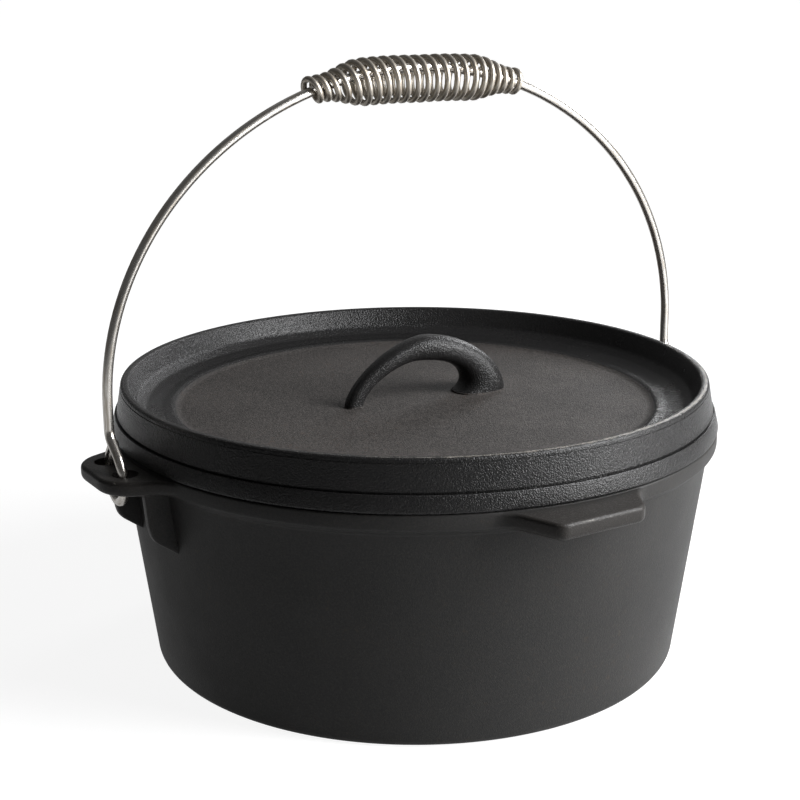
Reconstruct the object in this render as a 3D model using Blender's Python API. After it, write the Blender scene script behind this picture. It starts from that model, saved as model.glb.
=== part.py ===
"""Cast iron camp pot with its lid, wire bail and coil grip: four pieces, each one object.

Metres, +Z up. The origin is the centre of the pot's flat base. The ears stand along X and the
pouring tab points to -Y. Every size below is in millimetres and is turned into metres by MM.
"""

import math

import bmesh
import bpy
from mathutils import Matrix, Vector

MM = 0.001

# Gaps and fits
SEAT_GAP = 0.3
LIP_CLEARANCE = 1.2
EYE_HOLE_PLAY = 7.3
GRIP_CLEARANCE = 0.4
SEGMENTS = 80

# Pot wall and rim
MOUTH_RADIUS = 143.9
RIM_WIDTH = 8.5
RIM_RADIUS = MOUTH_RADIUS + RIM_WIDTH
RIM_TOP = 117.8
RIM_BAND = 8.8
RIM_BOTTOM = RIM_TOP - RIM_BAND
RIM_ROUND = 1.0
RIM_FADE = 2.6
RIM_PROUD = 3.952
WALL_SLOPE = 0.132
FOOT_RADIUS = RIM_RADIUS - RIM_PROUD - WALL_SLOPE * RIM_BOTTOM
FOOT_ROUND = 4.0
FLOOR_THICK = 5.0
FLOOR_ROUND = 9.0
WALL_THICK = 4.8

# Bail wire and its eyes, which the ears' holes follow
BAIL_WIRE = 4.7
EYE_RADIUS = 13.5

# Ears and tab, which are cast with the pot
LUG_TOP = RIM_TOP - 0.4
LUG_TOP_ROUND = 1.8
EAR_THICK = 7.3
EAR_UNDER_ROUND = 3.0
EAR_PROJECTION = 22.8
EAR_REACH = RIM_RADIUS + EAR_PROJECTION
EAR_SHOULDER = 7.0
EAR_HALF_WIDTH = EYE_RADIUS + EAR_SHOULDER
EAR_CORNER = 18.0
EAR_FLANK_DEG = 21.5
EAR_ROOT_FILLET = 16.0
EYE_HOLE_DIAMETER = BAIL_WIRE + EYE_HOLE_PLAY
EYE_HOLE_OUT = 9.9
EYE_HOLE_X = RIM_RADIUS + EYE_HOLE_OUT
EYE_HOLE_Y = EYE_RADIUS - 2.3
TAB_THICK = 8.0
TAB_UNDER_ROUND = 3.0
TAB_PROJECTION = 19.0
TAB_REACH = RIM_RADIUS + TAB_PROJECTION
TAB_HALF_WIDTH = 22.6
TAB_CORNER = 6.0
TAB_FLANK_DEG = 25.0
TAB_FRONT_SKEW_DEG = 5.0
TAB_ROOT_FILLET = 16.0
TAB_TURN_DEG = -4.3

# Ribs under the ears: a head against the ear, a waist, a knee and a foot on the wall
RIB_THICK = 5.0
RIB_GAP = 4.0
RIB_Y = EYE_RADIUS + RIB_GAP + RIB_THICK / 2
RIB_HEAD = RIM_RADIUS + 6.0
RIB_WAIST = (RIM_RADIUS + 4.0, RIM_TOP - 23.8)
RIB_KNEE = (RIM_RADIUS + 2.2, RIM_TOP - 31.3)
RIB_FOOT_DROP = 40.1
RIB_FOOT_Z = RIM_TOP - RIB_FOOT_DROP
RIB_KNEE_ROUND = 9.0
RIB_EDGE_ROUND = 1.2

# Lid, from its flange in to the plate
LID_SEAT = RIM_TOP + SEAT_GAP
FLANGE_OVERHANG = 0.5
FLANGE_THICK = 8.1
FLANGE_DRAFT = 2.0
FLANGE_RADIUS = RIM_RADIUS + FLANGE_OVERHANG
FLANGE_TOP_RADIUS = FLANGE_RADIUS - FLANGE_DRAFT
FLANGE_TOP = LID_SEAT + FLANGE_THICK
RAIL_STEP = 0.9
RAIL_DRAFT = 2.7
RAIL_HEIGHT = 15.3
RAIL_RADIUS = FLANGE_TOP_RADIUS - RAIL_STEP
RAIL_TOP_RADIUS = RAIL_RADIUS - RAIL_DRAFT
CREST = FLANGE_TOP + RAIL_HEIGHT
CREST_WIDTH = 3.7
CREST_ROUND = 1.9
CREST_INNER_RADIUS = RAIL_TOP_RADIUS - CREST_WIDTH
TRAY_WALL_FOOT = (CREST_INNER_RADIUS - 4.1, CREST - 9.9)
LEDGE = (CREST_INNER_RADIUS - 8.7, CREST - 13.2)
GROOVE = (CREST_INNER_RADIUS - 16.1, CREST - 14.2)
SHOULDER = (CREST_INNER_RADIUS - 21.0, CREST - 13.9)
PLATE_RADIUS = CREST_INNER_RADIUS - 27.6
PLATE_TOP = CREST - 15.5
PLATE_THICK = 6.0
LIP_DEPTH = 4.0
LIP_THICK = 5.0

# Lid handle: an outer and an inner arch line, joined by a rounded section
ARCH_CENTRE = (6.6, 0.2)
ARCH_TURN_DEG = -4.3
ARCH_OUTER = (45.1, 32.6)
ARCH_OUTER_POWERS = (1.28, 1.11)
ARCH_INNER = (30.0, 20.1)
ARCH_INNER_POWERS = (1.24, 0.85)
ARCH_INNER_SHIFT = -5.9
ARCH_FOOT_FLARE = 8.6
ARCH_FLARE_HEIGHT = 3.7
ARCH_WIDTHS = (8.2, 20.0)
ARCH_STEPS = 30
ARCH_SIDES = 16
ARCH_BURY = 3.0

# Bail, whose eyes cross inwards from the leg's line to the ears' inner holes
LEG_OUT = 2.4
BAIL_HALF_WIDTH = EYE_HOLE_X + LEG_OUT
EYE_IN = 2.4
EYE_END_X = EYE_HOLE_X - EYE_IN
EYE_CROSS_SHARE = 1.0
EYE_HEIGHT = LUG_TOP - 2.1
EYE_START_DEG = 130.0
EYE_END_DEG = 412.0
EYE_TAIL = 1.5
EYE_STEPS = 24
LEG_HEIGHT = 32.6
BAIL_SHOULDER = EYE_HEIGHT + LEG_HEIGHT
BAIL_RISE = 144.1
LEG_BEND = 8.0

# Coil grip
COIL_WIRE = 3.0
COIL_TURNS = 23
COIL_POINTS = 10
COIL_MIDDLE_DIAMETER = 23.2
COIL_END_DIAMETER = 13.8
COIL_MIDDLE_TURNS = 11.0
COIL_END_TURNS = 1.5
COIL_LENGTH = 120.0
COIL_SHIFT = 2.1
COIL_CROWDING = 0.1
COIL_RISE_POWER = 1.5
# The bail's crown is close to a circle under the grip, a little tighter than at its very top.
CROWN_RADIUS = 0.98383 * BAIL_HALF_WIDTH**2 / BAIL_RISE
GRIP_CENTRE_Z = BAIL_SHOULDER + BAIL_RISE - CROWN_RADIUS

# Seen colours: linear base colour, metallic, roughness
IRON = ((0.040, 0.038, 0.036, 1.0), 0.35, 0.62)
LID_IRON = ((0.046, 0.043, 0.040, 1.0), 0.35, 0.60)
WIRE_STEEL = ((0.55, 0.54, 0.51, 1.0), 1.0, 0.28)
SPRING_STEEL = ((0.28, 0.26, 0.23, 1.0), 1.0, 0.38)


def clear_scene():
    """Removes every object that the file opened with."""
    for obj in list(bpy.data.objects):
        bpy.data.objects.remove(obj, do_unlink=True)


def material(name, look):
    """One plain material from a colour, a metallic value and a roughness."""
    colour, metallic, roughness = look
    made = bpy.data.materials.new(name)
    made.use_nodes = True
    shader = made.node_tree.nodes["Principled BSDF"]
    shader.inputs["Base Color"].default_value = colour
    shader.inputs["Metallic"].default_value = metallic
    shader.inputs["Roughness"].default_value = roughness
    made.diffuse_color = colour
    return made


def new_object(name, bm):
    """A mesh object in the scene from a bmesh given in millimetres."""
    bmesh.ops.transform(bm, matrix=Matrix.Scale(MM, 4), verts=bm.verts)
    bmesh.ops.recalc_face_normals(bm, faces=bm.faces)
    mesh = bpy.data.meshes.new(name)
    bm.to_mesh(mesh)
    bm.free()
    obj = bpy.data.objects.new(name, mesh)
    bpy.context.scene.collection.objects.link(obj)
    return obj


def arc(centre, radius, start_deg, end_deg, steps):
    """Points of a circular arc, both ends included."""
    points = []
    for i in range(steps + 1):
        angle = math.radians(start_deg + (end_deg - start_deg) * i / steps)
        points.append((centre[0] + radius * math.cos(angle), centre[1] + radius * math.sin(angle)))
    return points


def rounded(before, corner, after, radius, steps):
    """An arc that rounds the corner between two straight lines."""
    corner = Vector(corner)
    to_before = (Vector(before) - corner).normalized()
    to_after = (Vector(after) - corner).normalized()
    half = to_before.angle(to_after) / 2
    centre = corner + (to_before + to_after).normalized() * radius / math.sin(half)
    first = corner + to_before * radius / math.tan(half) - centre
    last = corner + to_after * radius / math.tan(half) - centre
    turn = first.angle_signed(last)
    points = []
    for i in range(steps + 1):
        points.append(tuple(centre + Matrix.Rotation(-turn * i / steps, 2) @ first))
    return points


def revolve(profile):
    """A closed solid of revolution about Z. The profile runs from axis to axis."""
    bm = bmesh.new()
    verts = [bm.verts.new((radius, 0.0, height)) for radius, height in profile]
    edges = [bm.edges.new(pair) for pair in zip(verts, verts[1:])]
    bmesh.ops.spin(
        bm, geom=verts + edges, cent=(0, 0, 0), axis=(0, 0, 1), angle=math.tau, steps=SEGMENTS
    )
    bmesh.ops.remove_doubles(bm, verts=bm.verts, dist=0.005)
    return bm


def slab(outline, bottom, top, bottom_round, top_round, plane="XY"):
    """A plate with rounded edges from a flat outline. Plane XZ stands it upright."""
    bm = bmesh.new()
    verts = [bm.verts.new((a, b, bottom)) for a, b in outline]
    face = bm.faces.new(verts)
    rise = bmesh.ops.extrude_face_region(bm, geom=[face])["geom"]
    raised = [item for item in rise if isinstance(item, bmesh.types.BMVert)]
    bmesh.ops.translate(bm, vec=(0, 0, top - bottom), verts=raised)
    along = 2
    middle = (bottom + top) / 2
    if plane == "XZ":
        bmesh.ops.rotate(bm, matrix=Matrix.Rotation(math.radians(90), 3, "X"), verts=bm.verts)
        along = 1
        middle = -middle
    bmesh.ops.recalc_face_normals(bm, faces=bm.faces)
    for sign, edge_round in ((-1, bottom_round), (1, top_round)):
        level = [e for e in bm.edges if abs(e.verts[0].co[along] - e.verts[1].co[along]) < 1e-6]
        ring = [e for e in level if (e.verts[0].co[along] - middle) * sign > (top - bottom) * 0.499]
        bmesh.ops.bevel(
            bm, geom=ring, offset=edge_round, segments=3, profile=0.5, affect="EDGES",
            clamp_overlap=True,
        )
    return bm


def boolean(target, tool, operation):
    """Joins or cuts with an exact Boolean, and keeps the tool only as a hidden helper."""
    tool.hide_render = True
    tool.display_type = "WIRE"
    modifier = target.modifiers.new(f"{operation.title()} {tool.name}", "BOOLEAN")
    modifier.operation = operation
    modifier.solver = "EXACT"
    modifier.object = tool


def wall_radius(height):
    """Outer radius of the pot's wall at a height."""
    return FOOT_RADIUS + WALL_SLOPE * height


def bore_radius(height):
    """Inner radius of the pot's wall at a height."""
    foot = FOOT_RADIUS - WALL_THICK
    return foot + (MOUTH_RADIUS - foot) * height / RIM_TOP


def lug_side(reach, half_width, corner, flank_deg, root_fillet, skew):
    """One side of a lug that points along +X: its rounded corner, flank and concave root.

    The front edge leans by the skew, and the root's circle touches the flank, and the rim's
    circle from outside. The last value is the angle at which the root meets the rim.
    """
    slope = math.radians(flank_deg)
    flank = Vector((-math.cos(slope), math.sin(slope)))
    outward = Vector((math.sin(slope), math.cos(slope)))
    # The tip is where the leaning front edge meets the flank.
    width = half_width / (1 - skew * math.tan(slope))
    tip = Vector((reach - skew * width, width))
    base = tip + outward * root_fillet
    far = RIM_RADIUS + root_fillet
    along = base.dot(flank)
    root = math.sqrt(along * along - base.length_squared + far * far)
    run = -along - root if -along - root >= 0 else -along + root
    centre = base + flank * run
    start = -outward * root_fillet
    on_rim = centre - centre.normalized() * root_fillet
    sweep = start.angle_signed(on_rim - centre)
    steps = 8
    fillet = []
    for i in range(steps + 1):
        fillet.append(tuple(centre + Matrix.Rotation(-sweep * i / steps, 2) @ start))
    side = rounded((reach, 0), tip, centre + start, corner, 6) + fillet
    return side, math.atan2(on_rim.y, on_rim.x)


def lug_outline(reach, half_width, corner, flank_deg, root_fillet, skew_deg=0.0):
    """An ear or the tab pointing along +X, closed by an arc inside the rim."""
    skew = math.tan(math.radians(skew_deg))
    sizes = (reach, half_width, corner, flank_deg, root_fillet)
    left, left_end = lug_side(*sizes, skew)
    right, right_end = lug_side(*sizes, -skew)
    inner = arc((0, 0), RIM_RADIUS - 4.0, math.degrees(left_end), -math.degrees(right_end), 12)
    return left + inner + [(x, -y) for x, y in reversed(right)]


def add_lug(pot, name, outline, thick, under_round, turn_deg):
    """Fuses an ear or the tab onto the rim, turned about the pot's axis."""
    bm = slab(outline, LUG_TOP - thick, LUG_TOP, under_round, LUG_TOP_ROUND)
    bmesh.ops.rotate(bm, matrix=Matrix.Rotation(math.radians(turn_deg), 3, "Z"), verts=bm.verts)
    boolean(pot, new_object(name, bm), "UNION")


def rib_outline():
    """A rib's side view under an ear: upright edge, a knee, and a slope in to the wall."""
    bury = 2.5
    widest = RIB_Y + RIB_THICK / 2
    top = LUG_TOP - EAR_THICK / 2

    def at_wall(height, depth):
        return math.sqrt((wall_radius(height) - depth) ** 2 - widest**2)

    foot = (at_wall(RIB_FOOT_Z, 0.0), RIB_FOOT_Z)
    under = (at_wall(RIB_FOOT_Z - 1.5, bury), RIB_FOOT_Z - 1.5)
    points = [(at_wall(top, bury), top), (RIB_HEAD, top), RIB_WAIST]
    points += rounded(RIB_WAIST, RIB_KNEE, foot, RIB_KNEE_ROUND, 5)
    points += [foot, under]
    return points


def make_pot():
    """The pot: a revolved body with two ears, four ribs and a tab, one casting."""
    wall_foot = (wall_radius(0.0), 0.0)
    wall_head = (wall_radius(RIM_BOTTOM - RIM_FADE), RIM_BOTTOM - RIM_FADE)
    profile = [(0.0, 0.0)]
    profile += rounded((0.0, 0.0), wall_foot, wall_head, FOOT_ROUND, 4)
    profile += [wall_head]
    # The band swells out of the wall in a soft S.
    for i in range(1, 6):
        t = i / 6
        swell = (1 - math.cos(math.pi * t)) / 2
        height = wall_head[1] + t * 2 * RIM_FADE
        profile.append((wall_radius(height) + (RIM_RADIUS - wall_radius(height)) * swell, height))
    profile += [(RIM_RADIUS, RIM_BOTTOM + RIM_FADE)]
    profile += rounded(
        (RIM_RADIUS, RIM_BOTTOM), (RIM_RADIUS, RIM_TOP), (0.0, RIM_TOP), RIM_ROUND, 3
    )
    bore_foot = (bore_radius(FLOOR_THICK), FLOOR_THICK)
    profile += rounded((RIM_RADIUS, RIM_TOP), (MOUTH_RADIUS, RIM_TOP), bore_foot, RIM_ROUND, 3)
    profile += rounded((MOUTH_RADIUS, RIM_TOP), bore_foot, (0.0, FLOOR_THICK), FLOOR_ROUND, 6)
    profile += [(0.0, FLOOR_THICK)]
    pot = new_object("pot", revolve(profile))

    ear = lug_outline(EAR_REACH, EAR_HALF_WIDTH, EAR_CORNER, EAR_FLANK_DEG, EAR_ROOT_FILLET)
    tab = lug_outline(
        TAB_REACH, TAB_HALF_WIDTH, TAB_CORNER, TAB_FLANK_DEG, TAB_ROOT_FILLET, TAB_FRONT_SKEW_DEG
    )
    add_lug(pot, "ear_right_form", ear, EAR_THICK, EAR_UNDER_ROUND, 0.0)
    add_lug(pot, "ear_left_form", ear, EAR_THICK, EAR_UNDER_ROUND, 180.0)
    add_lug(pot, "tab_form", tab, TAB_THICK, TAB_UNDER_ROUND, -90.0 + TAB_TURN_DEG)

    for side in (1, -1):
        for front in (1, -1):
            # The standing slab runs from y = -RIB_THICK / 2 to its mirror before it is moved.
            edge = RIB_EDGE_ROUND
            bm = slab(rib_outline(), -RIB_THICK / 2, RIB_THICK / 2, edge, edge, plane="XZ")
            bmesh.ops.translate(bm, vec=(0, front * RIB_Y, 0), verts=bm.verts)
            if side < 0:
                turn = Matrix.Rotation(math.pi, 3, "Z")
                bmesh.ops.rotate(bm, matrix=turn, verts=bm.verts)
            boolean(pot, new_object(f"rib_form_{side}_{front}", bm), "UNION")

    for side in (1, -1):
        for front in (1, -1):
            bm = bmesh.new()
            place = Matrix.Translation((side * EYE_HOLE_X, front * EYE_HOLE_Y, LUG_TOP))
            bmesh.ops.create_cone(
                bm, cap_ends=True, segments=24, radius1=EYE_HOLE_DIAMETER / 2,
                radius2=EYE_HOLE_DIAMETER / 2, depth=4 * EAR_THICK, matrix=place,
            )
            boolean(pot, new_object(f"eye_hole_cutter_{side}_{front}", bm), "DIFFERENCE")
    return pot


def arch_line(angle, spans, powers):
    """A point of an arch line in the handle's plane. Its two halves bulge by their own powers."""
    c = math.cos(angle)
    right = 1 / (1 + math.exp(6 * c))
    power = powers[0] * (1 - right) + powers[1] * right
    across = -spans[0] * math.copysign(abs(c) ** power, c)
    return Vector((across, 0.0, spans[1] * math.sin(angle) ** power)), right


def arch_station(t):
    """Middle, half thickness as a vector and half width of the handle at t from 0 to 1."""
    angle = 0.02 + (math.pi - 0.04) * t
    outer, _ = arch_line(angle, ARCH_OUTER, ARCH_OUTER_POWERS)
    inner, right = arch_line(angle, ARCH_INNER, ARCH_INNER_POWERS)
    inner.x += ARCH_INNER_SHIFT - ARCH_FOOT_FLARE * right * math.exp(-inner.z / ARCH_FLARE_HEIGHT)
    ease = t * t * (3 - 2 * t)
    width = ARCH_WIDTHS[0] + (ARCH_WIDTHS[1] - ARCH_WIDTHS[0]) * ease
    return (outer + inner) / 2, (outer - inner) / 2, width / 2


def arch_sweep():
    """The handle as loops of a rounded section bridged along the arch, with buried feet."""
    stations = [arch_station(i / ARCH_STEPS) for i in range(ARCH_STEPS + 1)]
    sink = Vector((0, 0, -ARCH_BURY))
    for end in (0, -1):
        middle, thick, width = stations[end]
        flat = Vector((thick.x, 0.0, 0.0))
        stations.insert(0 if end == 0 else len(stations), (middle + sink, flat, width))

    bm = bmesh.new()
    loops = []
    for middle, thick, width in stations:
        loop = []
        for k in range(ARCH_SIDES):
            a = math.tau * k / ARCH_SIDES
            c = math.copysign(abs(math.cos(a)) ** 0.8, math.cos(a))
            s = math.copysign(abs(math.sin(a)) ** 0.8, math.sin(a))
            loop.append(bm.verts.new(middle + thick * c + Vector((0, width * s, 0))))
        loops.append(loop)
    for one, two in zip(loops, loops[1:]):
        for k in range(ARCH_SIDES):
            n = (k + 1) % ARCH_SIDES
            bm.faces.new((one[k], one[n], two[n], two[k]))
    bm.faces.new(loops[0])
    bm.faces.new(list(reversed(loops[-1])))
    bmesh.ops.rotate(bm, matrix=Matrix.Rotation(math.radians(ARCH_TURN_DEG), 3, "Z"), verts=bm.verts)
    bmesh.ops.translate(bm, vec=(ARCH_CENTRE[0], ARCH_CENTRE[1], PLATE_TOP), verts=bm.verts)
    return bm


def make_lid():
    """The lid: flange, stepped rail, dished tray and locating lip, with the cast arch handle."""
    lip_outer = MOUTH_RADIUS - LIP_CLEARANCE
    lip_bottom = LID_SEAT - LIP_DEPTH
    under = PLATE_TOP - PLATE_THICK
    plate_edge = (PLATE_RADIUS, under)
    profile = [(0.0, under), plate_edge]
    profile += [(LEDGE[0] - LIP_THICK, LEDGE[1] - PLATE_THICK)]
    profile += [(lip_outer - LIP_THICK, LID_SEAT), (lip_outer - LIP_THICK + 0.6, lip_bottom)]
    profile += rounded(
        (lip_outer - LIP_THICK, lip_bottom), (lip_outer, lip_bottom), (lip_outer, LID_SEAT), 1.2, 2
    )
    profile += [(lip_outer, LID_SEAT)]
    profile += rounded(
        (lip_outer, LID_SEAT), (FLANGE_RADIUS, LID_SEAT), (FLANGE_TOP_RADIUS, FLANGE_TOP), 0.9, 2
    )
    profile += rounded(
        (FLANGE_RADIUS, LID_SEAT), (FLANGE_TOP_RADIUS, FLANGE_TOP), (RAIL_RADIUS, FLANGE_TOP), 0.5, 2
    )
    profile += [(RAIL_RADIUS, FLANGE_TOP + 0.2)]
    crest_outer = (RAIL_TOP_RADIUS, CREST)
    crest_inner = (CREST_INNER_RADIUS, CREST)
    profile += rounded((RAIL_RADIUS, FLANGE_TOP), crest_outer, crest_inner, CREST_ROUND * 0.9, 3)
    profile += rounded(crest_outer, crest_inner, TRAY_WALL_FOOT, CREST_ROUND * 0.9, 3)
    profile += rounded(crest_inner, TRAY_WALL_FOOT, LEDGE, 4.0, 3)
    profile += rounded(TRAY_WALL_FOOT, LEDGE, GROOVE, 5.0, 2)
    profile += rounded(LEDGE, GROOVE, SHOULDER, 6.0, 2)
    profile += rounded(GROOVE, SHOULDER, (PLATE_RADIUS, PLATE_TOP), 4.0, 2)
    profile += rounded(SHOULDER, (PLATE_RADIUS, PLATE_TOP), (0.0, PLATE_TOP), 8.0, 2)
    profile += [(0.0, PLATE_TOP)]
    lid = new_object("lid", revolve(profile))
    boolean(lid, new_object("arch_form", arch_sweep()), "UNION")
    return lid


def wire_object(name, points, diameter, bevel_resolution):
    """A round wire along points given in millimetres, with closed ends."""
    curve = bpy.data.curves.new(name, "CURVE")
    curve.dimensions = "3D"
    curve.bevel_depth = diameter / 2 * MM
    curve.bevel_resolution = bevel_resolution
    curve.use_fill_caps = True
    curve.twist_mode = "MINIMUM"
    spline = curve.splines.new("POLY")
    spline.points.add(len(points) - 1)
    for slot, point in zip(spline.points, points):
        slot.co = (*(Vector(point) * MM), 1.0)
    spline.use_smooth = True
    obj = bpy.data.objects.new(name, curve)
    bpy.context.scene.collection.objects.link(obj)
    return obj


def bail_half():
    """Centre line from the top of the right leg down through the ear to the cut end."""
    start = math.radians(EYE_START_DEG)
    begin = Vector((EYE_RADIUS * math.cos(start), EYE_HEIGHT + EYE_RADIUS * math.sin(start)))
    heading = Vector((-math.sin(start), math.cos(start)))
    # The slanting run meets the leg's line, y = 0, above the ear.
    meet = begin - heading * (begin.x / heading.x)
    bend = rounded((0.0, BAIL_SHOULDER), meet, begin, LEG_BEND, 5)
    points = [Vector((BAIL_HALF_WIDTH, y, z)) for y, z in bend]
    for i in range(EYE_STEPS + 1):
        t = i / EYE_STEPS
        angle = math.radians(EYE_START_DEG + (EYE_END_DEG - EYE_START_DEG) * t)
        crossed = min(t / EYE_CROSS_SHARE, 1.0)
        ease = crossed * crossed * (3 - 2 * crossed)
        x = BAIL_HALF_WIDTH + (EYE_END_X - BAIL_HALF_WIDTH) * ease
        y = EYE_RADIUS * math.cos(angle)
        z = EYE_HEIGHT + EYE_RADIUS * math.sin(angle)
        points.append(Vector((x, y, z)))
    run_out = (points[-1] - points[-2]).normalized()
    points.append(points[-1] + run_out * EYE_TAIL)
    return points


def make_bail():
    """The bail: one wire, bent in a half ellipse with a coiled eye through each ear."""
    right = bail_half()
    crown = []
    steps = 44
    for i in range(steps + 1):
        angle = math.pi * i / steps
        x = BAIL_HALF_WIDTH * math.cos(angle)
        z = BAIL_SHOULDER + BAIL_RISE * math.sin(angle)
        crown.append(Vector((x, 0.0, z)))
    left = [Vector((-p.x, p.y, p.z)) for p in right]
    return wire_object("bail", list(reversed(right)) + crown + left, BAIL_WIRE, 3)


def coil_radius(turn):
    """Radius of the coil's wire centre at a turn counted from the middle."""
    middle = (COIL_MIDDLE_DIAMETER - COIL_WIRE) / 2
    end = (COIL_END_DIAMETER - COIL_WIRE) / 2
    fade = COIL_TURNS / 2 - COIL_END_TURNS - COIL_MIDDLE_TURNS / 2
    t = min(max((abs(turn) - COIL_MIDDLE_TURNS / 2) / fade, 0.0), 1.0)
    return middle + (end - middle) * (t * t * (3 - 2 * t))


def coil_offset(u):
    """How far the coil's centre line stands outside the bail's, at u from -1 to 1.

    The bail lies close under the top of the wide middle turns, and close over the bottom of
    the narrow end turns. The chords between the coil's points cut inside its circle.
    """
    middle = (COIL_MIDDLE_DIAMETER - COIL_WIRE) / 2
    end = (COIL_END_DIAMETER - COIL_WIRE) / 2
    chord = math.cos(math.pi / COIL_POINTS)
    taken = (COIL_WIRE + BAIL_WIRE) / 2 + GRIP_CLEARANCE
    low = -(middle * chord - taken)
    high = end * chord - taken
    return low + (high - low) * abs(u) ** COIL_RISE_POWER


def coil_points():
    """Centre line of the coil: a barrel-shaped helix wound along the crown of the bail."""
    points = []
    count = COIL_TURNS * COIL_POINTS
    for i in range(count + 1):
        u = 2 * i / count - 1
        along = COIL_LENGTH / 2 * (u + COIL_CROWDING * (u - u**3))
        tilt = (along + COIL_SHIFT) / CROWN_RADIUS
        radius = coil_radius(COIL_TURNS * u / 2)
        radial = Vector((math.sin(tilt), 0.0, math.cos(tilt)))
        centre = Vector((0, 0, GRIP_CENTRE_Z)) + radial * (CROWN_RADIUS + coil_offset(u))
        # Both cut ends come at the back of the bail.
        angle = math.tau * i / COIL_POINTS
        points.append(centre + (Vector((0, 1, 0)) * math.cos(angle) + radial * math.sin(angle)) * radius)
    # Each cut end runs on straight for one wire diameter.
    start = (points[0] - points[1]).normalized()
    end = (points[-1] - points[-2]).normalized()
    return [points[0] + start * COIL_WIRE] + points + [points[-1] + end * COIL_WIRE]


def least_gap(points, wire, apart):
    """Least distance between stretches of one wire that are over half a turn apart, less the wire."""
    fine = []
    for one, two in zip(points, points[1:]):
        for k in range(4):
            fine.append(one.lerp(two, k / 4))
    least = math.inf
    skip = apart * 4
    for i, one in enumerate(fine):
        for two in fine[i + skip : i + 4 * skip]:
            least = min(least, (one - two).length)
    return least - wire


def make_grip():
    """The grip: one steel spring threaded on the bail."""
    points = coil_points()
    gap = least_gap(points, COIL_WIRE, COIL_POINTS // 2)
    print(f"coil_grip: least gap to itself {gap:.2f} mm")
    return wire_object("coil_grip", points, COIL_WIRE, 1)


def apply_modifiers(obj):
    """Turns an object's evaluated shape into its plain mesh."""
    graph = bpy.context.evaluated_depsgraph_get()
    mesh = bpy.data.meshes.new_from_object(obj.evaluated_get(graph), depsgraph=graph)
    obj.modifiers.clear()
    obj.data = mesh


def finish_casting(obj, made, origin):
    """Applies the Booleans, shades the casting smooth and moves its origin onto its axis."""
    bpy.context.view_layer.update()
    apply_modifiers(obj)
    mesh = obj.data
    mesh.transform(Matrix.Translation(-Vector(origin) * MM))
    mesh.materials.clear()
    mesh.materials.append(made)
    mesh.shade_smooth()
    mesh.set_sharp_from_angle(angle=math.radians(38))
    obj.location = Vector(origin) * MM


def finish_wire(obj, made, origin):
    """Moves a wire's origin onto its joint axis and gives it its material."""
    obj.data.transform(Matrix.Translation(-Vector(origin) * MM))
    obj.data.materials.append(made)
    obj.location = Vector(origin) * MM


def main():
    """Builds the four pieces in place: lid shut, bail upright, grip centred."""
    clear_scene()
    pot = make_pot()
    lid = make_lid()
    bail = make_bail()
    grip = make_grip()
    finish_casting(pot, material("pot_iron", IRON), (0, 0, 0))
    finish_casting(lid, material("lid_iron", LID_IRON), (0, 0, LID_SEAT))
    finish_wire(bail, material("bail_steel", WIRE_STEEL), (0, 0, EYE_HEIGHT))
    finish_wire(grip, material("grip_steel", SPRING_STEEL), (0, 0, GRIP_CENTRE_Z))


if __name__ == "__main__":
    main()
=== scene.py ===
"""Cast iron camp pot with its lid, wire bail and coil grip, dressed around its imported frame.

Sizes are given in millimetres and turned into metres by MM. The origin is the centre of the
pot's flat base, +Z is up, the ears stand along X and the pouring tab points to -Y.
"""

import logging
import math
from collections.abc import Callable, Sequence
from dataclasses import dataclass, replace
from enum import Enum

import bmesh
import bpy
from bpy.types import Material, Node, NodeSocket, NodeTree, Object
from mathutils import Matrix, Vector


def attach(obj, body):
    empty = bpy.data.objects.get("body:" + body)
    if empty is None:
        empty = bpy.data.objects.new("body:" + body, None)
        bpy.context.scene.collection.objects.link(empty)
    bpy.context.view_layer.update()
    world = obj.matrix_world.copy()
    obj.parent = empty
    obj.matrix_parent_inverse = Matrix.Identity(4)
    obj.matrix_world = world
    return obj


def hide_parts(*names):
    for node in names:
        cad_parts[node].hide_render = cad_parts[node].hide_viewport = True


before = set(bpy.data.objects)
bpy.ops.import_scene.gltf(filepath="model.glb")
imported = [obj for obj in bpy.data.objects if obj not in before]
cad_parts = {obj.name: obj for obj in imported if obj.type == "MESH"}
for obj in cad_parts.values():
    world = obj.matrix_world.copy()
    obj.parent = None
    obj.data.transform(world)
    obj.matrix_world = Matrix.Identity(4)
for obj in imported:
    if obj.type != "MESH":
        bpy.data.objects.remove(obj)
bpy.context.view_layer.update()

LOG = logging.getLogger("camp_pot")

MM = 0.001

# Points nearer than these are made one, in millimetres.
SPIN_WELD = 0.005
OUTLINE_WELD = 0.001
WIRE_WELD = 0.0005

# A vertex this near a level lies on it, in metres.
LEVEL_SLACK = 1e-6

# Edges of the castings that are sharper than this stay crisp.
CRISP_ANGLE = math.radians(38)

# How fine the marks on cast iron are.
GRAINS_PER_METRE = 1850.0
MOTTLE_PER_METRE = 900.0
KNOCKS_PER_METRE = 230.0
PATCHES_PER_METRE = 22.0
FLECKS_PER_PATCH = 18.0
CLUMPS_PER_GRAIN = 0.55
CLUMP_SHARE = 0.6
GRAIN_SHARE = 0.4

# How fine the marks on drawn wire are, round it, and how far they are drawn out along it.
LINES_ROUND = 9.0
FILM_ROUND = 2.2
DRAWN_OUT = 0.25

# A height that no piece reaches, in millimetres.
ABOVE_ALL = 900.0

WHITE = (1.0, 1.0, 1.0, 1.0)

Point = tuple[float, float]
Place = tuple[float, float, float]
Colour = tuple[float, float, float]
Rounding = tuple[float, int]
Feeds = dict[str | int, object]


# Outline geometry


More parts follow.
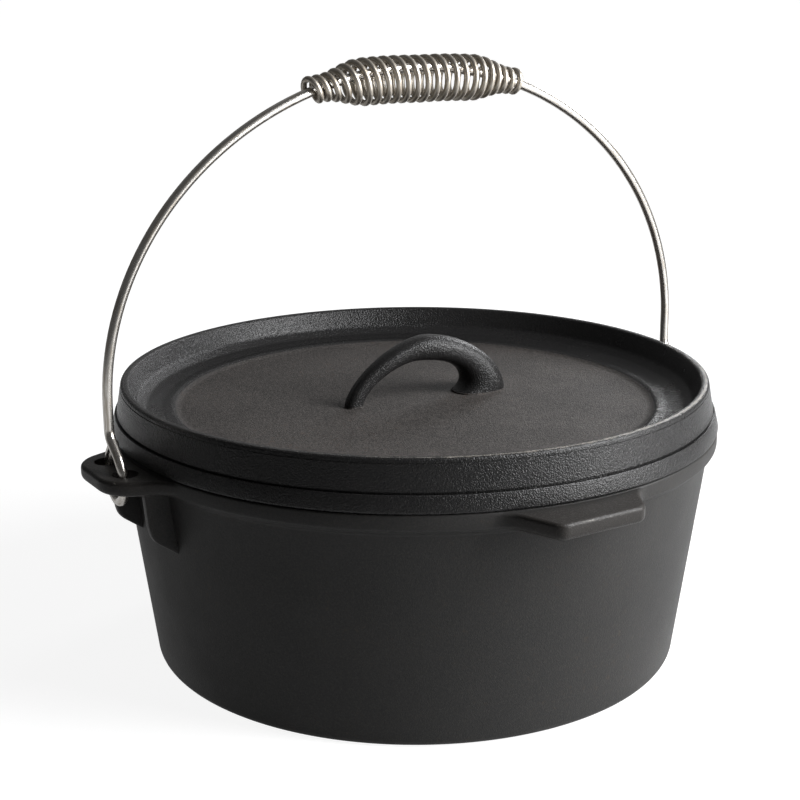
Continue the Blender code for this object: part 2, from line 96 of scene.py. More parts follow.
def swing(centre: Vector, first: Vector, last: Vector, steps: int) -> list[Point]:
    """Swings one spoke of a circle onto another, and gives the points its tip goes through."""
    angle = first.angle_signed(last)
    turns = [Matrix.Rotation(-angle * i / steps, 2) for i in range(steps + 1)]
    return [tuple(centre + turned @ first) for turned in turns]


def rounded(
    before: Point, corner: Point, after: Point, radius: float, steps: int
) -> list[Point]:
    """Rounds the corner between two straight lines.

    Args:
        before: A point on the line that comes in.
        corner: Where the two lines meet.
        after: A point on the line that goes out.
        radius: Radius of the rounding.
        steps: Number of chords in the arc.

    Returns:
        The points of the arc, both tangent points included.
    """
    tip = Vector(corner)
    back = (Vector(before) - tip).normalized()
    ahead = (Vector(after) - tip).normalized()
    half = back.angle(ahead) / 2
    centre = tip + (back + ahead).normalized() * radius / math.sin(half)
    first = tip + back * radius / math.tan(half) - centre
    last = tip + ahead * radius / math.tan(half) - centre
    return swing(centre, first, last, steps)


def round_off(path: Sequence[Point], rounds: Sequence[Rounding]) -> list[Point]:
    """Rounds each inner corner of a path, by its own radius and number of chords."""
    points = []
    for before, corner, after, (radius, steps) in zip(path, path[1:], path[2:], rounds):
        points += rounded(before, corner, after, radius, steps)
    return points


def arc(radius: float, start: float, end: float, steps: int) -> list[Point]:
    """Gives the points of an arc about the origin.

    Args:
        radius: Radius of the arc.
        start: First angle in radians.
        end: Last angle in radians.
        steps: Number of chords.

    Returns:
        The points, both ends included.
    """
    angles = [start + (end - start) * i / steps for i in range(steps + 1)]
    return [(radius * math.cos(a), radius * math.sin(a)) for a in angles]


def smoothstep(t: float) -> float:
    """Eases a share from 0 to 1 with level ends."""
    t = min(max(t, 0.0), 1.0)
    return t * t * (3 - 2 * t)


# Modelling steps


class Plane(Enum):
    """The plane that an outline is drawn in."""

    FLAT = "XY"
    UPRIGHT = "XZ"

    def lift(self, point: Point, off: float) -> Vector:
        """Puts an outline point into space, in metres, at a distance off the plane."""
        a, b = point
        place = (a, b, off) if self is Plane.FLAT else (a, off, b)
        return Vector(place) * MM


class Joining(Enum):
    """What a Boolean does with its tool."""

    UNION = "UNION"
    DIFFERENCE = "DIFFERENCE"


def deselect() -> None:
    """Leaves nothing selected, so that the next operator acts only on what it adds."""
    if bpy.context.mode != "OBJECT":
        bpy.ops.object.mode_set(mode="OBJECT")
    bpy.ops.object.select_all(action="DESELECT")


def hold(obj: Object) -> None:
    """Makes one object the only selected one, and the active one."""
    deselect()
    obj.select_set(True)
    bpy.context.view_layer.objects.active = obj


def trace(name: str, points: Sequence[Vector]) -> Object:
    """Draws a chain of edges by extruding one vertex from point to point.

    Args:
        name: Name of the new object.
        points: The chain's points, in metres.

    Returns:
        The object, in edit mode, with its whole chain selected.
    """
    deselect()
    bpy.ops.mesh.primitive_plane_add(size=MM, location=(0, 0, 0))
    obj = bpy.context.active_object
    obj.name = obj.data.name = name
    bpy.ops.object.mode_set(mode="EDIT")
    bpy.ops.mesh.select_mode(type="VERT")
    bpy.ops.mesh.select_all(action="SELECT")
    bpy.ops.mesh.merge(type="CENTER")
    bpy.ops.transform.translate(value=points[0])
    for before, after in zip(points, points[1:]):
        bpy.ops.mesh.extrude_region_move(TRANSFORM_OT_translate={"value": after - before})
    bpy.ops.mesh.select_all(action="SELECT")
    return obj


def close_mesh(weld: float) -> None:
    """Joins the points that meet within weld in edit mode, and turns the faces outward."""
    bpy.ops.mesh.select_all(action="SELECT")
    bpy.ops.mesh.remove_doubles(threshold=weld * MM)
    bpy.ops.mesh.normals_make_consistent(inside=False)
    bpy.ops.object.mode_set(mode="OBJECT")


def turn_on_axis(name: str, profile: Sequence[Point], steps: int) -> Object:
    """Spins a profile about Z into a closed solid.

    Args:
        name: Name of the new object.
        profile: Radius and height of each point, from axis to axis.
        steps: Number of faces round the solid.

    Returns:
        The solid, in object mode.
    """
    obj = trace(name, [Plane.UPRIGHT.lift(point, 0.0) for point in profile])
    bpy.ops.mesh.spin(steps=steps, angle=math.tau, center=(0, 0, 0), axis=(0, 0, 1))
    close_mesh(SPIN_WELD)
    return obj


def select_edges(obj: Object, wanted: Callable[[bmesh.types.BMEdge], bool]) -> None:
    """Selects the edges of the object in edit mode that a test wants, and no others."""
    bpy.ops.mesh.select_mode(type="EDGE")
    bpy.ops.mesh.select_all(action="DESELECT")
    mesh = bmesh.from_edit_mesh(obj.data)
    for edge in mesh.edges:
        if wanted(edge):
            edge.select_set(True)
    bmesh.update_edit_mesh(obj.data)


def slab(
    name: str,
    outline: Sequence[Point],
    plane: Plane,
    low: float,
    high: float,
    rounds: Point,
    segments: int,
) -> Object:
    """Extrudes a closed outline into a plate and rounds the rims of its two faces.

    Args:
        name: Name of the new object.
        outline: The outline's points in order, the first not repeated.
        plane: The plane that the outline lies in.
        low: Where the plate's first face stands off the plane.
        high: Where its second face stands.
        rounds: Radius at the first face's rim and at the second's.
        segments: Number of chords in each rounding.

    Returns:
        The plate, in object mode.
    """
    obj = trace(name, [plane.lift(point, low) for point in [*outline, outline[0]]])
    bpy.ops.mesh.remove_doubles(threshold=OUTLINE_WELD * MM)
    bpy.ops.mesh.edge_face_add()
    rise = plane.lift((0, 0), high - low)
    bpy.ops.mesh.extrude_region_move(TRANSFORM_OT_translate={"value": rise})
    bpy.ops.mesh.select_all(action="SELECT")
    bpy.ops.mesh.normals_make_consistent(inside=False)
    axis = 2 if plane is Plane.FLAT else 1
    for level, radius in zip((low, high), rounds):
        select_edges(
            obj, lambda e: all(abs(v.co[axis] - level * MM) < LEVEL_SLACK for v in e.verts)
        )
        bpy.ops.mesh.bevel(offset=radius * MM, segments=segments, profile=0.5, affect="EDGES")
    bpy.ops.object.mode_set(mode="OBJECT")
    return obj


def combine(target: Object, tool: Object, joining: Joining) -> None:
    """Joins a tool to an object, or cuts it out, and removes the tool."""
    hold(target)
    modifier = target.modifiers.new(tool.name, "BOOLEAN")
    modifier.operation = joining.value
    modifier.solver = "EXACT"
    modifier.object = tool
    bpy.ops.object.modifier_apply(modifier=modifier.name)
    bpy.data.objects.remove(tool, do_unlink=True)


def turn(obj: Object, degrees: float) -> None:
    """Turns an object's mesh about Z."""
    obj.data.transform(Matrix.Rotation(math.radians(degrees), 4, "Z"))


def draw_wire(name: str, points: Sequence[Vector], diameter: float, resolution: int) -> Object:
    """Turns a chain of points into a round wire with closed ends.

    Args:
        name: Name of the new object.
        points: Centre line in metres.
        diameter: Wire diameter in millimetres.
        resolution: Blender's bevel resolution, which sets the faces round the wire.

    Returns:
        The wire as a mesh object.
    """
    obj = trace(name, points)
    bpy.ops.object.mode_set(mode="OBJECT")
    bpy.ops.object.convert(target="CURVE")
    curve = bpy.context.active_object
    curve.data.dimensions = "3D"
    curve.data.twist_mode = "MINIMUM"
    curve.data.bevel_depth = diameter / 2 * MM
    curve.data.bevel_resolution = resolution
    curve.data.use_fill_caps = True
    bpy.ops.object.convert(target="MESH")
    wire = bpy.context.active_object
    wire.name = wire.data.name = name
    bpy.ops.object.mode_set(mode="EDIT")
    close_mesh(WIRE_WELD)
    bpy.ops.object.shade_smooth()
    return wire


# Shader building


class NodeSheet:
    """Adds nodes to one node tree and joins them, so that a finish reads as a list of steps."""

    def __init__(self, tree: NodeTree) -> None:
        """Keeps the tree that nodes go into."""
        self.tree = tree

    def feed(self, node: Node, feeds: Feeds) -> None:
        """Gives inputs, by name or number, their value or the socket that feeds them."""
        for key, value in feeds.items():
            if isinstance(value, NodeSocket):
                self.tree.links.new(value, node.inputs[key])
            else:
                node.inputs[key].default_value = value

    def add(self, kind: str, feeds: Feeds | None = None, **settings: object) -> Node:
        """Adds one node.

        Args:
            kind: The node's type name.
            feeds: What goes into its inputs.
            **settings: The node's own properties.

        Returns:
            The new node.
        """
        node = self.tree.nodes.new(kind)
        for name, value in settings.items():
            setattr(node, name, value)
        self.feed(node, feeds or {})
        return node

    def use(self, group: NodeTree, feeds: Feeds) -> Node:
        """Places a node group with its own values."""
        return self.add("ShaderNodeGroup", feeds, node_tree=group)

    def math(self, operation: str, *values: object) -> NodeSocket:
        """Adds a Math node on numbers or sockets, and gives its result."""
        node = self.add("ShaderNodeMath", dict(enumerate(values)), operation=operation)
        return node.outputs[0]

    def times(self, first: object, second: object) -> NodeSocket:
        """Multiplies two numbers or sockets."""
        return self.math("MULTIPLY", first, second)

    def span(
        self, value: object, low: float, high: float, to_low: float = 0.0, to_high: float = 1.0
    ) -> NodeSocket:
        """Maps a value smoothly from one range to another, held at the ends."""
        feeds = {
            "Value": value,
            "From Min": low,
            "From Max": high,
            "To Min": to_low,
            "To Max": to_high,
        }
        node = self.add("ShaderNodeMapRange", feeds, interpolation_type="SMOOTHSTEP")
        return node.outputs["Result"]

    def blend(self, share: object, first: object, second: object) -> NodeSocket:
        """Mixes two colours by a share."""
        node = self.add("ShaderNodeMix", {0: share, 6: first, 7: second}, data_type="RGBA")
        return node.outputs[2]

    def noise(self, vector: object, scale: object, detail: float, roughness: float) -> NodeSocket:
        """Adds a noise texture and gives its value."""
        feeds = {"Vector": vector, "Scale": scale, "Detail": detail, "Roughness": roughness}
        return self.add("ShaderNodeTexNoise", feeds).outputs[0]

    def split(self, vector: object) -> tuple[NodeSocket, ...]:
        """Splits a vector into its x, y and z."""
        return tuple(self.add("ShaderNodeSeparateXYZ", {0: vector}).outputs)

    def diagonal(self, first: object, second: object) -> NodeSocket:
        """Gives the diagonal over two sides at a right angle."""
        squares = [self.times(side, side) for side in (first, second)]
        return self.math("SQRT", self.math("ADD", *squares))

    def dot(self, vector: object, direction: object) -> NodeSocket:
        """Gives how far a vector reaches along a direction."""
        feeds = {0: vector, 1: direction}
        return self.add("ShaderNodeVectorMath", feeds, operation="DOT_PRODUCT").outputs["Value"]


def start_material(name: str) -> tuple[Material, NodeSheet, Node]:
    """Starts a node material, and gives it with its sheet and its shader."""
    made = bpy.data.materials.new(name)
    made.use_nodes = True
    return made, NodeSheet(made.node_tree), made.node_tree.nodes["Principled BSDF"]


@dataclass
class EffectLibrary:
    """The effects that several finishes share, each a node group that is built once.

    The constants say between which values of its noise each mark fades in.
    """

    TOPS = (0.52, 0.68)
    PATCHES = (0.35, 0.65)
    FLECKS = (0.56, 0.74)
    FLECKED_PATCHES = (0.42, 0.62)
    KNOCK_SHARE = 1.1
    # Painted highlight: these two make a ring's side that faces the lamps lighter.
    LIT_SIDE_FADE = (0.3, 1.0)
    LIT_SIDE_LIFT = (0.0, 0.35)
    RUBBED_AND_LIT = (0.45, 0.95)
    LINES = (0.35, 0.7)
    FILM = (0.4, 0.65)

    sand_grain: NodeTree
    seasoning: NodeTree
    rubbed_ring_and_highlight: NodeTree
    drawn_marks: NodeTree

    @staticmethod
    def group(
        name: str, inputs: dict[str, object], outputs: Sequence[str]
    ) -> tuple[NodeSheet, Node, Node]:
        """Starts an empty group.

        Args:
            name: The group's name.
            inputs: Each input's name and default, a number or "vector".
            outputs: Names of the number outputs.

        Returns:
            The sheet to add nodes to, and the group's input and output nodes.
        """
        tree = bpy.data.node_groups.new(name, "ShaderNodeTree")
        for label, default in inputs.items():
            kind = "NodeSocketVector" if default == "vector" else "NodeSocketFloat"
            socket = tree.interface.new_socket(label, in_out="INPUT", socket_type=kind)
            if default != "vector":
                socket.default_value = default
        for label in outputs:
            tree.interface.new_socket(label, in_out="OUTPUT", socket_type="NodeSocketFloat")
        return NodeSheet(tree), tree.nodes.new("NodeGroupInput"), tree.nodes.new("NodeGroupOutput")

    @classmethod
    def build(cls) -> "EffectLibrary":
        """Builds every shared effect."""
        return cls(cls.make_grain(), cls.make_seasoning(), cls.make_ring(), cls.make_drawn())

    @classmethod
    def make_grain(cls) -> NodeTree:
        """Sand-cast skin: low bumps the size of sand grains, and the tops that catch light."""
        inputs = {"Vector": "vector", "Grains per Metre": GRAINS_PER_METRE}
        sheet, given, result = cls.group("sand_grain", inputs, ["Height", "Speckle"])
        vector, scale = given.outputs["Vector"], given.outputs["Grains per Metre"]
        coarse = sheet.times(scale, CLUMPS_PER_GRAIN)
        clumps = sheet.noise(vector, coarse, detail=2.0, roughness=0.7)
        clumps = sheet.times(clumps, CLUMP_SHARE)
        feeds = {"Vector": vector, "Scale": scale}
        cells = sheet.add("ShaderNodeTexVoronoi", feeds, feature="SMOOTH_F1").outputs["Distance"]
        grains = sheet.times(sheet.math("SUBTRACT", 1.0, cells), GRAIN_SHARE)
        height = sheet.math("ADD", clumps, grains)
        sheet.feed(result, {"Height": height, "Speckle": sheet.span(height, *cls.TOPS)})
        return sheet.tree

    @classmethod
    def make_seasoning(cls) -> NodeTree:
        """Baked oil skin: wide cloudy patches and small rusty flecks."""
        inputs = {"Vector": "vector", "Patches per Metre": PATCHES_PER_METRE}
        sheet, given, result = cls.group("seasoning", inputs, ["Patch", "Fleck"])
        vector, scale = given.outputs["Vector"], given.outputs["Patches per Metre"]
        wide = sheet.noise(vector, scale, detail=4.0, roughness=0.6)
        small = sheet.times(scale, FLECKS_PER_PATCH)
        fine = sheet.noise(vector, small, detail=3.0, roughness=0.65)
        fleck = sheet.span(fine, *cls.FLECKS)
        fleck = sheet.times(fleck, sheet.span(wide, *cls.FLECKED_PATCHES))
        sheet.feed(result, {"Patch": sheet.span(wide, *cls.PATCHES), "Fleck": fleck})
        return sheet.tree

    @classmethod
    def make_ring(cls) -> NodeTree:
        """Rubbed edge round the pot's axis, broken up by knocks, with a painted highlight on the
        side that faces the lamps.
        """
        inputs = {
            "Vector": "vector",
            "Radius": 0.15,
            "Height": 0.1,
            "Width": 0.002,
            "Broken": 0.5,
            "Side": "vector",
        }
        sheet, given, result = cls.group("rubbed_ring_and_highlight", inputs, ["Mask"])
        vector = given.outputs["Vector"]
        x, y, z = sheet.split(vector)
        reach = sheet.diagonal(x, y)
        across = sheet.math("SUBTRACT", reach, given.outputs["Radius"])
        above = sheet.math("SUBTRACT", z, given.outputs["Height"])
        off = sheet.math("DIVIDE", sheet.diagonal(across, above), given.outputs["Width"])
        near = sheet.math("SUBTRACT", 1.0, off)
        knocks = sheet.noise(vector, KNOCKS_PER_METRE, detail=5.0, roughness=0.75)
        knocks = sheet.times(knocks, cls.KNOCK_SHARE)
        kept = sheet.math("SUBTRACT", sheet.math("ADD", near, knocks), given.outputs["Broken"])
        # Painted highlight: lighter towards the given side, where the lamps fall on the ring.
        toward_lit_side = sheet.math("DIVIDE", sheet.dot(vector, given.outputs["Side"]), reach)
        kept = sheet.math("ADD", kept, sheet.span(toward_lit_side, *cls.LIT_SIDE_FADE, *cls.LIT_SIDE_LIFT))
        sheet.feed(result, {"Mask": sheet.span(kept, *cls.RUBBED_AND_LIT)})
        return sheet.tree

    @classmethod
    def make_drawn(cls) -> NodeTree:
        """Die marks that run along a drawn wire, and the dull film between them."""
        inputs = {"Vector": "vector", "Length": 100.0}
        sheet, given, result = cls.group("drawn_marks", inputs, ["Line", "Film"])
        u, v, _ = sheet.split(given.outputs["Vector"])
        along = sheet.times(u, given.outputs["Length"])
        ring = sheet.times(v, math.tau)
        feeds = {
            "X": sheet.times(along, DRAWN_OUT),
            "Y": sheet.math("COSINE", ring),
            "Z": sheet.math("SINE", ring),
        }
        wrapped = sheet.add("ShaderNodeCombineXYZ", feeds).outputs[0]
        lines = sheet.noise(wrapped, LINES_ROUND, detail=4.0, roughness=0.7)
        film = sheet.noise(wrapped, FILM_ROUND, detail=4.0, roughness=0.6)
        feeds = {"Line": sheet.span(lines, *cls.LINES), "Film": sheet.span(film, *cls.FILM)}
        sheet.feed(result, feeds)
        return sheet.tree


# Finishes


@dataclass(frozen=True)
class Ring:
    """A worn edge round the axis, in millimetres, with a side as a direction on which it is
    painted lighter as a highlight.
    """

    radius: float
    height: float
    width: float
    broken: float
    # The side painted lighter as a highlight, towards the lamps; zero for none.
    side: Place = (0.0, 0.0, 0.0)

    def mask(self, sheet: NodeSheet, vector: NodeSocket, effects: EffectLibrary) -> NodeSocket:
        """Places the ring's effect and gives where it is bare, and where its lit side is painted
        lighter as a highlight.
        """
        feeds = {
            "Vector": vector,
            "Radius": self.radius * MM,
            "Height": self.height * MM,
            "Width": self.width * MM,
            "Broken": self.broken,
            "Side": self.side,
        }
        return sheet.use(effects.rubbed_ring_and_highlight, feeds).outputs["Mask"]


@dataclass(frozen=True)
class CastIronFinish:
    """Oil-seasoned sand-cast iron: a mottled broad face, and a barer skin on rails and lugs.

    The skin lies beyond skin_reach from the axis and above skin_height, in millimetres.
    """

    name: str
    dark: Colour
    warm: Colour
    skin: Colour
    rust: Colour
    # Colour of rubbed wear, also used for the painted highlight on a ring's lit side.
    rubbed_and_lit: Colour
    roughness: float
    skin_roughness: float
    specular: float
    grain_depth: float
    skin_reach: float
    skin_height: float
    rings: tuple[Ring, ...]
    reach_fade: float = 5.0
    height_fade: float = 0.4
    mottle_fade: Point = (0.40, 0.60)
    mottle_share: float = 0.8
    patch_share: float = 0.2
    patch_polish: float = 0.05
    tops_polish: float = 0.14
    speckle_shares: Point = (0.03, 0.05)
    grain_shares: Point = (0.9, 1.0)

    def skin_mask(self, sheet: NodeSheet, vector: NodeSocket) -> NodeSocket:
        """Gives where the barer skin lies."""
        x, y, z = sheet.split(vector)
        low, high = self.skin_reach - self.reach_fade, self.skin_reach + self.reach_fade
        outside = sheet.span(sheet.diagonal(x, y), low * MM, high * MM)
        low, high = self.skin_height - self.height_fade, self.skin_height + self.height_fade
        return sheet.math("MAXIMUM", outside, sheet.span(z, low * MM, high * MM))

    def material(self, effects: EffectLibrary) -> Material:
        """Builds the finish's material.

        Args:
            effects: The shared node groups.

        Returns:
            The material.
        """
        made, sheet, shader = start_material(self.name)
        vector = sheet.add("ShaderNodeTexCoord").outputs["Object"]
        skin = self.skin_mask(sheet, vector)
        feeds = {"Vector": vector, "Grains per Metre": GRAINS_PER_METRE}
        grain = sheet.use(effects.sand_grain, feeds).outputs
        feeds = {"Vector": vector, "Patches per Metre": PATCHES_PER_METRE}
        season = sheet.use(effects.seasoning, feeds).outputs

        fine = sheet.noise(vector, MOTTLE_PER_METRE, detail=2.0, roughness=0.7)
        mottle = sheet.span(fine, *self.mottle_fade, 0.0, self.mottle_share)
        patches = sheet.times(season["Patch"], self.patch_share)
        tone = sheet.math("ADD", mottle, patches)
        colour = sheet.blend(tone, (*self.dark, 1.0), (*self.warm, 1.0))
        colour = sheet.blend(season["Fleck"], colour, (*self.rust, 1.0))
        colour = sheet.blend(skin, colour, (*self.skin, 1.0))
        share = sheet.span(skin, 0.0, 1.0, *self.speckle_shares)
        worn_and_highlight = sheet.times(grain["Speckle"], share)
        # Rings add rubbed wear and, on a lit side, a painted highlight.
        for ring in self.rings:
            worn_and_highlight = sheet.math("MAXIMUM", worn_and_highlight, ring.mask(sheet, vector, effects))
        colour = sheet.blend(worn_and_highlight, colour, (*self.rubbed_and_lit, 1.0))

        rough = sheet.span(skin, 0.0, 1.0, self.roughness, self.skin_roughness)
        polish = sheet.times(season["Patch"], self.patch_polish)
        rough = sheet.math("SUBTRACT", rough, polish)
        tops = sheet.times(grain["Speckle"], skin)
        rough = sheet.math("SUBTRACT", rough, sheet.times(tops, self.tops_polish))

        share = sheet.span(skin, 0.0, 1.0, *self.grain_shares)
        height = sheet.times(grain["Height"], share)
        feeds = {"Height": height, "Distance": self.grain_depth * MM, "Strength": 1.0}
        bump = sheet.add("ShaderNodeBump", feeds)
        shader.inputs["Specular IOR Level"].default_value = self.specular
        feeds = {"Base Color": colour, "Roughness": rough, "Normal": bump.outputs[0]}
        sheet.feed(shader, feeds)
        return made


@dataclass(frozen=True)
class SteelWireFinish:
    """Drawn steel wire with die marks along it and a dull film."""

    name: str
    bright: Colour
    dull: Colour
    roughness: float
    film: float
    length: float
    line_share: float = 0.45
    film_roughness: float = 0.15
    line_depth: float = 0.004
    line_strength: float = 0.6

    def material(self, effects: EffectLibrary) -> Material:
        """Builds the finish's material.

        Args:
            effects: The shared node groups.

        Returns:
            The material.
        """
        made, sheet, shader = start_material(self.name)
        vector = sheet.add("ShaderNodeTexCoord").outputs["UV"]
        marks = sheet.use(effects.drawn_marks, {"Vector": vector, "Length": self.length}).outputs
        film = sheet.times(marks["Film"], self.film)
        share = sheet.math("MAXIMUM", film, sheet.times(marks["Line"], self.line_share))
        feeds = {
            "Height": marks["Line"],
            "Distance": self.line_depth * MM,
            "Strength": self.line_strength,
        }
        bump = sheet.add("ShaderNodeBump", feeds)
        shader.inputs["Metallic"].default_value = 1.0
        rough = sheet.times(share, self.film_roughness)
        feeds = {
            "Base Color": sheet.blend(share, (*self.bright, 1.0), (*self.dull, 1.0)),
            "Roughness": sheet.math("ADD", self.roughness, rough),
            "Normal": bump.outputs[0],
        }
        sheet.feed(shader, feeds)
        return made


# Pieces


@dataclass(frozen=True)
class Role:
    """The body a piece rides on, the CAD node it stands for and its material slot."""

    body: str
    node: str
    slot: str

    def give(self, obj: Object, made: Material) -> None:
        """Dresses a finished piece and hands it to the frame."""
        obj.data.materials.clear()
        obj.data.materials.append(made)
        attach(obj, self.body)
        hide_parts(self.node)
        LOG.info("%s: %d faces, rides on %s", obj.name, len(obj.data.polygons), self.body)


@dataclass(frozen=True)
class Lug:
    """A flat lug cast onto the rim: an ear or the front tab."""

    reach: float
    half_width: float
    corner: float
    flank_deg: float
    thick: float
    turn_deg: float = 0.0
    skew_deg: float = 0.0
    root_fillet: float = 16.0
    bury: float = 7.0
    rounds: Point = (3.0, 1.8)
    round_steps: int = 6
    side_steps: int = 14
    inner_steps: int = 16

    def side(self, rim_radius: float, skew: float) -> tuple[list[Point], float]:
        """Draws one side of the lug, which points along +X: its corner, flank and concave root.

        Args:
            rim_radius: Radius of the rim's band that the root runs into.
            skew: How far the front edge falls back for each millimetre sideways.

        Returns:
            The side's points and the angle at which its root meets the rim.
        """
        slope = math.radians(self.flank_deg)
        flank = Vector((-math.cos(slope), math.sin(slope)))
        outward = Vector((math.sin(slope), math.cos(slope)))
        width = self.half_width / (1 - skew * math.tan(slope))
        tip = Vector((self.reach - skew * width, width))
        base = tip + outward * self.root_fillet
        far = rim_radius + self.root_fillet
        dot = base.dot(flank)
        root = math.sqrt(dot * dot - base.length_squared + far * far)
        run = -dot - root if -dot - root >= 0 else -dot + root
        centre = base + flank * run
        start = -outward * self.root_fillet
        on_rim = centre - centre.normalized() * self.root_fillet
        fillet = swing(centre, start, on_rim - centre, self.side_steps)
        flank_end = tuple(centre + start)
        corner = rounded((self.reach, 0), tuple(tip), flank_end, self.corner, self.side_steps)
        return corner + fillet, math.atan2(on_rim.y, on_rim.x)

    def outline(self, rim_radius: float) -> list[Point]:
        """Draws the whole lug, closed by an arc inside the rim.

        Args:
            rim_radius: Radius of the rim's band.

        Returns:
            The outline's points.
        """
        skew = math.tan(math.radians(self.skew_deg))
        left, left_end = self.side(rim_radius, skew)
        right, right_end = self.side(rim_radius, -skew)
        inner = arc(rim_radius - self.bury, left_end, -right_end, self.inner_steps)
        return left + inner + [(x, -y) for x, y in reversed(right)]

    def build(self, name: str, top: float, rim_radius: float) -> Object:
        """Models the lug in its place on the rim, its top face at the given height."""
        outline, low = self.outline(rim_radius), top - self.thick
        plate = slab(name, outline, Plane.FLAT, low, top, self.rounds, self.round_steps)
        turn(plate, self.turn_deg)
        return plate


@dataclass
class PotCasting:
    """The pot: a turned body with two ears, four ribs and a tab, all one casting."""

    role: Role = Role("pot", "pot", "pot_iron")
    steps: int = 240
    foot_radius: float = 134.06
    wall_slope: float = 0.132
    foot_round: Rounding = (4.0, 8)
    floor_thick: float = 5.0
    floor_round: Rounding = (9.0, 10)
    wall_thick: float = 4.8
    mouth_radius: float = 143.9
    rim_radius: float = 152.4
    rim_top: float = 117.8
    rim_bottom: float = 109.0
    rim_round: Rounding = (1.0, 5)
    rim_fade: float = 2.6
    lug_top: float = 117.4
    ear: Lug = Lug(reach=175.2, half_width=20.5, corner=18.0, flank_deg=21.5, thick=7.3)
    tab: Lug = Lug(
        reach=171.4,
        half_width=22.6,
        corner=6.0,
        flank_deg=25.0,
        thick=8.0,
        turn_deg=-94.3,
        skew_deg=5.0,
    )
    hole_radius: float = 6.0
    hole_x: float = 162.3
    hole_y: float = 11.2
    hole_over: float = 6.0
    hole_soft: Rounding = (0.4, 4)
    hole_steps: int = 48
    rib_thick: float = 5.0
    rib_y: float = 20.0
    rib_bury: float = 2.5
    rib_top_reach: float = 158.4
    rib_waist: Point = (156.4, 94.0)
    rib_knee: Point = (154.6, 86.5)
    rib_knee_round: Rounding = (9.0, 10)
    rib_foot: float = 77.7
    rib_drop: float = 1.5
    rib_rounds: Point = (1.2, 1.2)
    rib_round_steps: int = 4
    base_ring: float = 70.0
    wall_heights: tuple[float, ...] = (20.0, 36.0, 52.0, 68.0, 84.0)
    swell_steps: int = 10

    def wall(self, height: float) -> float:
        """Gives the wall's outer radius at a height."""
        return self.foot_radius + self.wall_slope * height

    def profile(self) -> list[Point]:
        """Draws the body's half section from the underside's centre to the floor's centre."""
        head = self.rim_bottom - self.rim_fade
        wall_head = (self.wall(head), head)
        foot = self.foot_radius - self.wall_thick
        bore = foot + (self.mouth_radius - foot) * self.floor_thick / self.rim_top
        points = [(0.0, 0.0), (self.base_ring, 0.0)]
        points += round_off([(0.0, 0.0), (self.wall(0.0), 0.0), wall_head], [self.foot_round])
        points += [(self.wall(height), height) for height in self.wall_heights]
        points += [wall_head]
        for i in range(1, self.swell_steps):
            t = i / self.swell_steps
            height = head + t * 2 * self.rim_fade
            wall = self.wall(height)
            swell = (1 - math.cos(math.pi * t)) / 2
            points.append((wall + (self.rim_radius - wall) * swell, height))
        points += [(self.rim_radius, self.rim_bottom + self.rim_fade)]
        path = [
            (self.rim_radius, self.rim_bottom),
            (self.rim_radius, self.rim_top),
            (self.mouth_radius, self.rim_top),
            (bore, self.floor_thick),
            (0.0, self.floor_thick),
        ]
        points += round_off(path, [self.rim_round, self.rim_round, self.floor_round])
        return points + [(self.base_ring, self.floor_thick), (0.0, self.floor_thick)]

    def in_wall(self, height: float, depth: float) -> float:
        """Gives how far out a rib's outer side goes under the wall's surface at a height."""
        widest = self.rib_y + self.rib_thick / 2
        return math.sqrt((self.wall(height) - depth) ** 2 - widest**2)

    def rib_outline(self) -> list[Point]:
        """Draws a rib's side view: an upright edge, a knee and a slope in to the wall."""
        top = self.lug_top - self.ear.thick / 2
        low = self.rib_foot - self.rib_drop
        foot = (self.in_wall(self.rib_foot, 0.0), self.rib_foot)
        points = [(self.in_wall(top, self.rib_bury), top), (self.rib_top_reach, top)]
        points += [self.rib_waist]
        points += round_off([self.rib_waist, self.rib_knee, foot], [self.rib_knee_round])
        return points + [foot, (self.in_wall(low, self.rib_bury), low)]

    def hole_profile(self) -> list[Point]:
        """Draws half of a hole's cutter, which flares where the ear's faces round into it."""
        over, soft = self.hole_over, self.hole_soft[0]
        top, bottom = self.lug_top, self.lug_top - self.ear.thick
        narrow = self.hole_radius
        wide = narrow + soft + soft
        path = [(wide, bottom - soft), (narrow, bottom), (narrow, top), (wide, top + soft)]
        points = [(0.0, bottom - over), (wide, bottom - over), path[0]]
        points += round_off(path, [self.hole_soft, self.hole_soft])
        return points + [path[-1], (wide, top + over), (0.0, top + over)]

    def build(self) -> Object:
        """Models the casting.

        Returns:
            The finished piece.
        """
        pot = turn_on_axis("pot_casting", self.profile(), self.steps)
        lugs = {
            "ear_right": self.ear,
            "ear_left": replace(self.ear, turn_deg=180.0),
            "tab": self.tab,
        }
        for name, lug in lugs.items():
            combine(pot, lug.build(name, self.lug_top, self.rim_radius), Joining.UNION)
        outline = self.rib_outline()
        for side in (0.0, 180.0):
            for y in (self.rib_y, -self.rib_y):
                low, high = y - self.rib_thick / 2, y + self.rib_thick / 2
                rib = slab(
                    "rib", outline, Plane.UPRIGHT, low, high, self.rib_rounds, self.rib_round_steps
                )
                turn(rib, side)
                combine(pot, rib, Joining.UNION)
        for side in (1, -1):
            for y in (self.hole_y, -self.hole_y):
                cutter = turn_on_axis("hole_cutter", self.hole_profile(), self.hole_steps)
                cutter.data.transform(Matrix.Translation((side * self.hole_x * MM, y * MM, 0)))
                combine(pot, cutter, Joining.DIFFERENCE)
        hold(pot)
        bpy.ops.object.shade_smooth_by_angle(angle=CRISP_ANGLE)
        return pot


